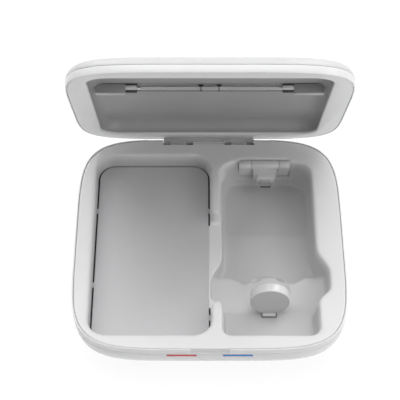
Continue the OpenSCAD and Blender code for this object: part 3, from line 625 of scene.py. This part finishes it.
def laminate(name):
    made, add, link, shader = new_material(name)
    place = add("ShaderNodeTexCoord")
    tracks = add("ShaderNodeTexBrick")
    tracks.inputs["Scale"].default_value = 60.0
    tracks.inputs["Mortar Size"].default_value = 0.03
    tracks.inputs["Color1"].default_value = (0.012, 0.11, 0.045, 1)
    tracks.inputs["Color2"].default_value = (0.010, 0.09, 0.038, 1)
    tracks.inputs["Mortar"].default_value = (0.045, 0.22, 0.08, 1)
    bump = add("ShaderNodeBump")
    bump.inputs["Strength"].default_value = 0.2
    bump.inputs["Distance"].default_value = 0.0001
    link(place.outputs["Object"], tracks.inputs["Vector"])
    link(tracks.outputs["Color"], shader.inputs["Base Color"])
    link(tracks.outputs["Fac"], bump.inputs["Height"])
    link(bump.outputs["Normal"], shader.inputs["Normal"])
    shader.inputs["Roughness"].default_value = 0.35
    return made


board_green = laminate("board_green")
chip_black = plastic("chip_black", (0.028, 0.028, 0.03), (0.04, 0.04, 0.042), gloss=(0.4, 0.6),
                     grain=3000, depth=0.2)
steel = metal("steel", (0.62, 0.62, 0.63), (0.5, 0.5, 0.51))
plated = metal("plated", (0.75, 0.75, 0.76), (0.62, 0.62, 0.63), gloss=(0.15, 0.28))
finish_node("main_board", board_green)
finish_node("board_components", chip_black)
finish_node("board_screws", steel)
finish_node("usb_c_socket", plated)

# ----------------------------------------------------------------------------
# Feet and bottom screws. Five dark rubber pads with a raised rim are glued into shallow
# seats under the shell, and four screws join shell and tray from below.
# ----------------------------------------------------------------------------
rubber_grey = plastic("rubber_grey", (0.07, 0.07, 0.073), (0.095, 0.095, 0.098),
                      gloss=(0.6, 0.75), grain=2600, depth=0.35)
pad = rod("foot_1", (0, 0, 0), "z", 2.0, 5.0)
edit(pad)
pick(pad, "faces", lambda p, way: way.z < -0.9)
terrace(pad, [(1.2, 0), (0.25, -0.35), (0.8, -0.1)])
leave_edit()
ease(pad, 0.3)
for number, (x, y) in enumerate(FEET[:-1], start=2):
    foot = pad.copy()
    foot.data = pad.data.copy()
    bpy.context.scene.collection.objects.link(foot)
    foot.name = f"foot_{number}"
    foot.data.transform(Matrix.Translation((x * mm, y * mm, 0)))
    dress(foot, rubber_grey, "base", "rubber_grey", "rubber_feet")
dress(pad, rubber_grey, "base", "rubber_grey", "rubber_feet")
finish_node("bottom_screws", steel)

# ----------------------------------------------------------------------------
# Buttons. Two thin bars of coloured plastic stand a little proud in slots in the front
# wall, red on the left and blue on the right; behind each is a flange and a stem that
# presses a switch on an upright board.
# ----------------------------------------------------------------------------
for name, colour, x, tint, cloud_tint in (
        ("left_button", "button_red", -BUTTON_X, (0.68, 0.035, 0.045), (0.60, 0.03, 0.04)),
        ("right_button", "button_blue", BUTTON_X, (0.02, 0.21, 0.62), (0.015, 0.18, 0.55))):
    bar = block(name + "_bar", x - 10.2, x + 10.2, -95.3, -92.3, 25.9, 27.9, soft=0.45)
    flange = block("flange", x - 11.4, x + 11.4, -92.4, -91.4, 25.0, 27.9, soft=0.15)
    weld(bar, flange, block("stem", x - 1.5, x + 1.5, -91.5, -89.4, 25.9, 27.85, soft=0.15))
    gloss_plastic = plastic(colour, tint, cloud_tint, gloss=(0.18, 0.26), coat=0.4)
    dress(bar, gloss_plastic, name, colour, name)
finish_node("button_board", board_green)
finish_node("tact_switches", chip_black)
finish_node("lid_sensor", chip_black)
magnet_nickel = metal("magnet_nickel", (0.55, 0.54, 0.52), (0.45, 0.44, 0.43), gloss=(0.25, 0.4))
finish_node("base_magnets", magnet_nickel)

# ----------------------------------------------------------------------------
# Hinge fixings in the base. Two grey troughs hold a steel pin each, with a black sleeve on
# both sides of the arm that gives the hinge its friction.
# ----------------------------------------------------------------------------
hinge_grey = plastic("hinge_grey", (0.36, 0.36, 0.365), (0.32, 0.32, 0.33), gloss=(0.35, 0.5),
                     grain=1800, depth=0.08)
finish_node("hinge_troughs", hinge_grey)
finish_node("hinge_pins", steel)
finish_node("friction_sleeves", plastic(
    "sleeve_black", (0.03, 0.03, 0.03), (0.045, 0.045, 0.045), gloss=(0.45, 0.6), grain=2400,
    depth=0.2))

# ----------------------------------------------------------------------------
# Flip-up connector at the rear of the device recess. Two white knuckles stand fixed on a
# small plate, and between them a third turns on a steel pin and carries the metal plug.
# ----------------------------------------------------------------------------
connector_white = plastic("connector_white", (0.78, 0.78, 0.775), (0.75, 0.75, 0.745),
                          gloss=(0.26, 0.36), grain=1600, depth=0.04)
HINGE_LINE = (71.8, 30.2)        # where the connector's pin runs, in y and z
bracket = block("connector_plate", 22.8, 61.1, 74.4, 75.4, 15.6, 26, soft=0.3)
for x0, x1 in ((22.8, 32.05), (52.95, 61.1)):
    weld(bracket, block("web", x0 + 0.3, x1 - 0.3, 71.8, 75.3, 22, 30.2, soft=0.25),
         rod("knuckle", (x0, *HINGE_LINE), "x", x1 - x0, 3.2, sides=56, soft=0.45))
dress(bracket, connector_white, "base", "bracket_grey", "connector_bracket")
finish_node("connector_pin", steel)

arm = rod("connector_knuckle", (32.2, *HINGE_LINE), "x", 20.6, 3.2, sides=56, soft=0.45)
plug_seat = block("plug_seat", 36, 49.9, 66.6, 71.8, 15.4, 21.4)
edit(plug_seat)
round_edges(plug_seat, 2.0, 6, lambda p, way: abs(way.y) > 0.9)
leave_edit()
ease(plug_seat, 0.35)
weld(arm, block("shank", 33.7, 51.3, 70.2, 73.4, 15.0, 30.2, soft=0.6), plug_seat)
dress(arm, connector_white, "case_connector", "connector_white", "connector_arm")

plug = block("connector_plug", 38.8, 47.1, 60.1, 69.6, 17.15, 19.65)
edit(plug)
round_edges(plug, 1.1, 6, lambda p, way: abs(way.y) > 0.9)
pick(plug, "faces", lambda p, way: way.y < -0.9)
terrace(plug, [(0.35, 0), (0.12, -5.0)])
leave_edit()
weld(plug, block("contact_tongue", 40.2, 45.7, 61.0, 66.5, 18.25, 18.55, soft=0.05))
dress(plug, plated, "case_connector", "plated", "connector_plug")

# ----------------------------------------------------------------------------
# Watch puck. A turned white cup with a softly rounded edge and a light grey face stands on a
# short barrel that turns on a pin between two lugs. Its toe, on the floor in front, is a
# small grey loop round a white pad.
# ----------------------------------------------------------------------------
puck_white = plastic("puck_white", (0.84, 0.84, 0.84), (0.81, 0.81, 0.815), gloss=(0.14, 0.22),
                     grain=1200, depth=0.015, coat=0.3)
PUCK_Z = 27.8                    # the puck's axis runs from front to back at this height


def from_axis(p):
    return math.hypot(p.x - RECESS_X, p.z - PUCK_Z)


puck = rod("puck_cup", (RECESS_X, -52, PUCK_Z), "y", 7.3, 14, sides=96)
edit(puck)
pick(puck, "faces", lambda p, way: way.y < -0.9)
terrace(puck, [(0.6, 0), (0.02, -1.15)])
leave_edit()
edit(puck)
round_edges(puck, 1.3, 5, lambda p, way: abs(way.y) < 0.1 and p.y > -44.8)
round_edges(puck, 0.3, 3,
            lambda p, way: abs(way.y) < 0.1 and p.y < -51.9 and from_axis(p) > 13.6)
leave_edit()
weld(puck, rod("barrel", (36.8, -47.6, 13.5), "x", 11.0, 2.2, sides=40, soft=0.3),
     block("neck", 36.8, 47.8, -49.8, -45.8, 13.3, 15.4, soft=0.4))
dress(puck, puck_white, "watch_puck", "puck_white", "puck_housing", smooth=40)

puck_grey = plastic("puck_grey", (0.68, 0.68, 0.685), (0.65, 0.65, 0.655), gloss=(0.26, 0.36),
                    grain=1500, depth=0.03)
charging_face = rod("puck_charging_face", (RECESS_X, -52.05, PUCK_Z), "y", 1.25, 13.3,
                    sides=96)
edit(charging_face)
pick(charging_face, "faces", lambda p, way: way.y < -0.9)
terrace(charging_face, [(0.5, 0), (5.5, -0.16), (3.5, -0.1)])
round_edges(charging_face, 0.3, 3, lambda p, way: p.y < -52.04 and from_axis(p) > 13.04)
leave_edit()
dress(charging_face, puck_grey, "watch_puck", "puck_grey", "puck_face")
toe = block("puck_toe_loop", 36.6, 48.0, -54.9, -48.6, 12.6, 13.9, round_up=1.4, steps=6,
            soft=0.3)
cut(toe, block("slot", 37.4, 47.2, -54.2, -50.6, 12, 15, round_up=1.1, steps=5))
toe_grey = plastic("toe_grey", (0.30, 0.30, 0.305), (0.27, 0.27, 0.275), gloss=(0.3, 0.42))
dress(toe, toe_grey, "watch_puck", "puck_grey", "puck_housing")
toe_pad = block("puck_toe_pad", 37.6, 47.0, -54.0, -49.4, 12.6, 14.1, round_up=1.0, steps=5,
                soft=0.3)
dress(toe_pad, puck_white, "watch_puck", "puck_white", "puck_housing")
finish_node("puck_coil", wound_copper("puck_coil_copper", (RECESS_X, -55.8, PUCK_Z),
                                      (math.pi / 2, 0, 0), 0.9))
finish_node("puck_magnet", magnet_nickel)
finish_node("puck_pin", steel)

# ----------------------------------------------------------------------------
# Lid. The domed cover, the band under it and the liner with its bowl are three mouldings.
# They are drawn shut, and then swung open on the hinge as in use.
# ----------------------------------------------------------------------------
RIM = 34.1                       # height of the shut lid's lower edge
HINGE_Y, HINGE_Z = 92.2, 26.8    # the axis of the lid's hinge
OPEN = (Matrix.Translation((0, HINGE_Y * mm, HINGE_Z * mm))
        @ Matrix.Rotation(math.radians(-61.5), 4, "X")
        @ Matrix.Translation((0, -HINGE_Y * mm, -HINGE_Z * mm)))


def hang(piece, material, slot, *stands_for, smooth=35):
    """Swings a finished piece of the shut lid open and dresses it."""
    piece.matrix_world = OPEN @ piece.matrix_world
    work_on(piece)
    bpy.ops.object.transform_apply(location=True, rotation=True, scale=True)
    dress(piece, material, "lid", slot, *stands_for, smooth=smooth)


BAND_TOP = RIM + 5.5
cover = squircle("lid_dome", 0, BAND_TOP, RIM + 5.9, steps=40)
edit(cover)
pick(cover, "faces", lambda p, way: way.z > 0.9)
terrace(cover, [(0.05, 0.5), (0.25, 0.8), (0.45, 0.9), (0.75, 1.2), (1.1, 1.1), (1.5, 0.85),
                (2.1, 0.75), (2.9, 0.7), (4.0, 0.7), (5.0, 0.8)])
for share, rise in ((0.92, 1.0), (0.913, 0.9), (0.87, 0.95), (0.85, 0.8), (0.8, 0.65),
                    (0.7, 0.55), (0.55, 0.35), (0.4, 0.15)):
    bpy.ops.mesh.extrude_region_move(TRANSFORM_OT_translate={"value": (0, 0, rise * mm)})
    bpy.ops.transform.resize(value=(share, share, 1), center_override=(0, 0, 0))
bpy.ops.mesh.merge(type="CENTER")
pick(cover, "faces", lambda p, way: way.z < -0.9)
bpy.ops.mesh.delete(type="FACE")
leave_edit()
apply_modifier(cover, "SOLIDIFY", thickness=1.6 * mm, offset=-1, use_even_offset=True)
edit(cover)
round_edges(cover, 0.35, 2, lambda p, way: p.z < BAND_TOP + 0.05 and on_outline(p))
leave_edit()
# Painted shade: the cover is the shell's white plastic, painted a darker white because the lamps
# light its top most
cover_shaded_white = plastic("cover_shaded_white", (0.72, 0.72, 0.725), (0.695, 0.695, 0.705),
                      gloss=(0.24, 0.33), grain=900, depth=0.015, ior=1.38)
hang(cover, cover_shaded_white, "shell_white", "lid_cover", smooth=45)

lid_band = squircle("lid_band", 0, RIM, BAND_TOP)
edit(lid_band)
round_edges(lid_band, 0.5, 3, lambda p, way: p.z < RIM + 0.1)
round_edges(lid_band, 0.45, 2, lambda p, way: p.z > BAND_TOP - 0.1)
leave_edit()
cut(lid_band, squircle("lip", LIP, RIM - 2, RIM + 1.6),
    squircle("ledge", LEDGE, RIM + 1.4, RIM + 8),
    block("leaf_gap", -34.5, 34.5, 89.2, 93.9, RIM - 1, RIM + 4.5))
hang(lid_band, band_white, "band_white", "lid_frame")

liner_white = plastic("liner_white", (0.85, 0.85, 0.855), (0.82, 0.82, 0.83),
                      gloss=(0.45, 0.56), grain=1900, depth=0.05, ior=1.33)
bowl_grey = plastic("bowl_grey", (0.40, 0.40, 0.405), (0.37, 0.37, 0.375),
                    gloss=(0.30, 0.42), grain=1700, depth=0.05)


def bowl(name, grow, depth, low, roof_round):
    """The bowl as a solid, upside down as in the shut lid, with its roof's edge rounded."""
    made = block(name, -81 - grow, 81 + grow, -81 - grow, 78 + grow, RIM + low, RIM + depth,
                 round_up=15 + grow, steps=10)
    edit(made)
    round_edges(made, roof_round, 10, lambda p, way: p.z > RIM + depth - 0.1)
    leave_edit()
    return made


PLATE = 1.35                     # inset of the rim's face plate
rim = squircle("lid_rim_plate", PLATE, RIM, RIM + 1.6)
cut(rim, bowl("mouth", 0, 9, -3, 1),
    block("leaf_gap", -34.4, 34.4, 90.2, 97, RIM - 1, RIM + 4))
edit(rim)
round_edges(rim, 0.9, 4,
            lambda p, way: p.z < RIM + 0.05 and abs(p.x) < 81.1 and -81.1 < p.y < 78.1)
round_edges(rim, 0.35, 2, lambda p, way: p.z < RIM + 0.05 and on_outline(p, PLATE))
leave_edit()
hang(rim, liner_white, "liner_grey", "lid_liner")

inner_bowl = bowl("lid_bowl", 1.2, 12.0, 1.6, 9.6)
cut(inner_bowl, bowl("hollow", 0, 11, -3, 8.8))
hang(inner_bowl, bowl_grey, "liner_grey", "lid_liner")

# ----------------------------------------------------------------------------
# Hinge leaf. A plate is screwed under the lid's rear edge, painted grey as shade where it sits
# under the lid. Its two arms reach down into the pockets, past which it is notched, and end in
# barrels that turn on the pins.
# ----------------------------------------------------------------------------
leaf = block("hinge_leaf", -34.5, 34.5, 90.4, 93.8, 30.9, 37.9, soft=0.35)
for x in (-23.35, 23.35):
    weld(leaf, block("arm", x - 5.25, x + 5.25, 90.5, 93.8, HINGE_Z, 31.1, soft=0.2),
         rod("barrel", (x - 5.25, HINGE_Y, HINGE_Z), "x", 10.5, 2.6, sides=48, soft=0.3))
    cut(leaf, rod("bore", (x - 6, HINGE_Y, HINGE_Z), "x", 12, 1.3, sides=32))
cut(leaf, *[block("notch", x, x + 5.6, 89, 93, 30, 32.0) for x in (-34.4, -17.9, 12.3, 28.8)])
cut(leaf, *[rod("screw_bore", (x, HINGE_Y, 33.9), "z", 6, 0.9, sides=24)
            for x in (-29, -11, 11, 29)])
# The leaf's grey is painted shade on a white plastic plate
leaf_shaded_grey = plastic("leaf_shaded_grey", (0.66, 0.66, 0.665), (0.62, 0.62, 0.625), gloss=(0.34, 0.46),
                    grain=1700, depth=0.05)
hang(leaf, leaf_shaded_grey, "hinge_grey", "hinge_leaf")
finish_node("leaf_screws", steel)

# ----------------------------------------------------------------------------
# Lamp. A thin quartz tube lies across the bowl between two white end caps, each held between
# black strips, painted shade for the shadow gap round the cap, and plugged into a grey housing
# with a plate on its face painted lighter, a painted highlight for the light it catches. Midway
# a grey clip holds the tube, with two small hooks behind it in black, painted shade for the gaps
# where it grips.
# ----------------------------------------------------------------------------
LAMP_Y, LAMP_Z = -26.5, RIM + 8      # the axis of the tube


def on_lamp(name, x0, x1, radius, sides=40, soft=0.0):
    return rod(name, (x0, LAMP_Y, LAMP_Z), "x", x1 - x0, radius, sides=sides, soft=soft)


def lamp_glass(name):
    made, add, link, shader = new_material(name)
    place, haze = add("ShaderNodeTexCoord"), add("ShaderNodeTexNoise")
    haze.inputs["Scale"].default_value = 160.0
    gloss = add("ShaderNodeMapRange")
    gloss.inputs["To Max"].default_value = 0.05
    link(place.outputs["Object"], haze.inputs["Vector"])
    link(haze.outputs["Fac"], gloss.inputs["Value"])
    link(gloss.outputs["Result"], shader.inputs["Roughness"])
    # Painted shade: the tube's colour is painted dark where its wall is seen edge on, at its two
    # sides
    edge, edge_shade_ramp = add("ShaderNodeLayerWeight"), add("ShaderNodeValToRGB")
    edge.inputs["Blend"].default_value = 0.5
    edge_shade_ramp.color_ramp.elements[0].position = 0.30
    edge_shade_ramp.color_ramp.elements[0].color = (0.97, 0.97, 0.97, 1)
    edge_shade_ramp.color_ramp.elements[1].position = 0.48
    edge_shade_ramp.color_ramp.elements[1].color = (0.12, 0.12, 0.125, 1)
    link(edge.outputs["Facing"], edge_shade_ramp.inputs["Fac"])
    link(edge_shade_ramp.outputs["Color"], shader.inputs["Base Color"])
    shader.inputs["Transmission Weight"].default_value = 1.0
    shader.inputs["IOR"].default_value = 1.46
    return made


tube = on_lamp("lamp_tube", -53.6, 53.6, 1.98, soft=0.3)
cut(tube, on_lamp("inside", -52.8, 52.8, 1.65))
hang(tube, lamp_glass("lamp_glass"), "lamp_glass", "uv_lamp")

cap_white = plastic("cap_white", (0.80, 0.80, 0.79), (0.76, 0.76, 0.75), gloss=(0.3, 0.42),
                    grain=1800, depth=0.05)
housing_trim = plastic("housing_trim", (0.34, 0.34, 0.345), (0.31, 0.31, 0.315),
                       gloss=(0.35, 0.5), grain=1800, depth=0.06)
# Painted highlight: the plate on the housing's face is painted lighter than the housing, for the
# light it catches from the tray below
lit_plate_grey = plastic("housing_plate", (0.50, 0.50, 0.505), (0.47, 0.47, 0.475), gloss=(0.3, 0.42),
                     grain=1800, depth=0.05)
for side, label in ((-1, "left"), (1, "right")):
    def across(a, b):
        return min(side * a, side * b), max(side * a, side * b)

    electrode = on_lamp(f"lamp_electrode_{label}", *across(47.4, 51.6), 0.9, sides=20, soft=0.2)
    hang(electrode, steel, "steel", "uv_lamp")
    cap = on_lamp(f"lamp_cap_{label}", *across(49.8, 57.6), 2.5, soft=0.3)
    cut(cap, on_lamp("seat", *across(49.0, 53.6), 2.0))
    hang(cap, cap_white, "lamp_trim", "lamp_caps")
    # The black strips above and below each cap are painted shade for the shadow gap round it
    shade_strips, other_shade_strip = [
        block(name, *across(49.6, 57.4), LAMP_Y - 2.2, LAMP_Y + 1.2, LAMP_Z + low,
              LAMP_Z + low + 1.1, soft=0.15)
        for name, low in ((f"lamp_shade_strips_{label}", -2.8), ("strip", 1.7))]
    weld(shade_strips, other_shade_strip)
    hang(shade_strips, chip_black, "lamp_trim", "lamp_caps")
    housing_plan = (*across(57.6, 78), LAMP_Y - 2.9, LAMP_Y + 2.9)
    housing = block(f"lamp_housing_{label}", *housing_plan, RIM + 4.4, RIM + 10.3, soft=0.25)
    weld(housing, block("foot", *across(58.2, 77.4), LAMP_Y - 2.0, LAMP_Y + 2.6, RIM + 10,
                        RIM + 10.9))
    hang(housing, housing_trim, "lamp_trim", "lamp_housings")
    plate = block(f"lamp_housing_plate_{label}", *housing_plan, RIM + 4.0, RIM + 4.35, soft=0.12)
    hang(plate, lit_plate_grey, "lamp_trim", "lamp_housings")

clip = block("lamp_clip", -7.4, 7.6, LAMP_Y - 1.6, LAMP_Y + 2.6, RIM + 10.7, RIM + 11, soft=0.1)
weld(clip, *[block(name, x - half, x + half, LAMP_Y + front, LAMP_Y + back, LAMP_Z + low,
                   LAMP_Z + high)
             for name, half, front, back, low, high in (("post", 0.7, 0.2, 2.6, 1.5, 2.8),
                                                        ("grip", 0.6, 2.05, 2.7, -2.3, 1.9),
                                                        ("lip", 0.55, -0.4, 2.6, -2.4, -1.95))
             for x in (-6, 6.3)])
cut(clip, on_lamp("seat", -9, 9, 2.02))
# The two hooks are black as painted shade, for the shadowed gaps where the clip grips the tube
shade_hooks, other_shade_hook = [
    block(name, x0, x1, LAMP_Y - 1.2, LAMP_Y + 1.4, LAMP_Z + 1.9, LAMP_Z + 2.4, soft=0.1)
    for name, x0, x1 in (("lamp_clip_shade_hooks", -7.8, -4.4), ("hook", 4.8, 8.0))]
weld(shade_hooks, other_shade_hook)
cut(shade_hooks, on_lamp("seat", -9, 9, 2.02))
hang(shade_hooks, chip_black, "lamp_trim", "lamp_clip")
hang(clip, bowl_grey, "lamp_trim", "lamp_clip")

# ----------------------------------------------------------------------------
# Lamp driver and lid magnets, closed in between the liner and the cover. They are the
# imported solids, each given its finish.
# ----------------------------------------------------------------------------
finish_node("lamp_driver_board", board_green)
finish_node("driver_components", chip_black)
finish_node("lid_magnets", magnet_nickel)

# ----------------------------------------------------------------------------
# Surroundings of the box: a floor of plain pale paper in a pale room, broad soft lamps on
# all sides of it, and a camera where the photograph was taken from.
# ----------------------------------------------------------------------------
deselect()
bpy.ops.mesh.primitive_plane_add(size=6, location=(0, 0, 0))
floor = bpy.context.object
floor.name = "floor"
floor_paper, add, link, paper = new_material("floor_paper")
paper.inputs["Base Color"].default_value = (0.86, 0.86, 0.86, 1)
paper.inputs["Roughness"].default_value = 0.9
# Seen by the camera, and in gloss and glass, the paper is lifted to white under its shadow
tree = floor_paper.node_tree
glow, lift, path = (add("ShaderNodeEmission"), add("ShaderNodeMixShader"),
                    add("ShaderNodeLightPath"))
glow.inputs["Strength"].default_value = 1.06
seen = calculate(tree, "MAXIMUM", path.outputs["Is Camera Ray"], path.outputs["Is Glossy Ray"])
link(calculate(tree, "MULTIPLY", seen, 0.86), lift.inputs["Fac"])
link(paper.outputs["BSDF"], lift.inputs[1])
link(glow.outputs["Emission"], lift.inputs[2])
link(lift.outputs["Shader"], tree.nodes["Material Output"].inputs["Surface"])
floor.data.materials.append(floor_paper)

world = bpy.data.worlds.new("studio")
bpy.context.scene.world = world
world.use_nodes = True
tree = world.node_tree
add, link = tree.nodes.new, tree.links.new
room = tree.nodes["Background"]
room.inputs["Color"].default_value = (1, 1, 1, 1)
room.inputs["Strength"].default_value = 0.02
# The camera, gloss and glass see a pale room; the surfaces get little light from it
pale_room, swap, path = (add("ShaderNodeBackground"), add("ShaderNodeMixShader"),
                         add("ShaderNodeLightPath"))
seen = calculate(tree, "MAXIMUM", path.outputs["Is Camera Ray"], path.outputs["Is Glossy Ray"])
seen = calculate(tree, "MAXIMUM", seen, path.outputs["Is Transmission Ray"])
link(seen, swap.inputs["Fac"])
link(room.outputs["Background"], swap.inputs[1])
link(pale_room.outputs["Background"], swap.inputs[2])
link(swap.outputs["Shader"], tree.nodes["World Output"].inputs["Surface"])

# A broad lamp overhead, two behind the open lid and a wide one in front give most of the
# light, so that the lid shades the rear of the tray only softly
for name, place, size, watts in (
        ("rear_left", (-0.8, 0.9, 1.2), 1.0, 9.0), ("rear_right", (0.8, 0.9, 1.2), 1.0, 9.2),
        ("overhead", (0, 0.1, 1.6), 1.2, 10.4),
        ("side_left", (-1.3, 0, 0.9), 0.8, 4.2), ("side_right", (1.3, 0, 0.9), 0.8, 4.6),
        ("front_left", (-1.0, -1.3, 0.6), 0.8, 0.6),
        ("front_right", (1.0, -1.3, 0.6), 1.7, 11.4)):
    light = bpy.data.lights.new(name, "AREA")
    light.shape = "SQUARE"
    light.size = size
    light.energy = watts
    softbox = bpy.data.objects.new(name, light)
    bpy.context.scene.collection.objects.link(softbox)
    softbox.location = place
    softbox.rotation_euler = (-Vector(place)).to_track_quat("-Z", "Y").to_euler()

camera_data = bpy.data.cameras.new("camera")
camera_data.lens = 120.37
camera_data.sensor_width = 36
camera = bpy.data.objects.new("camera", camera_data)
bpy.context.scene.collection.objects.link(camera)
camera.location = (-0.00667, -0.58161, 0.80429)
camera.rotation_euler = (math.radians(38.676), 0, 0)
bpy.context.scene.camera = camera
bpy.context.scene.view_settings.view_transform = "Standard"
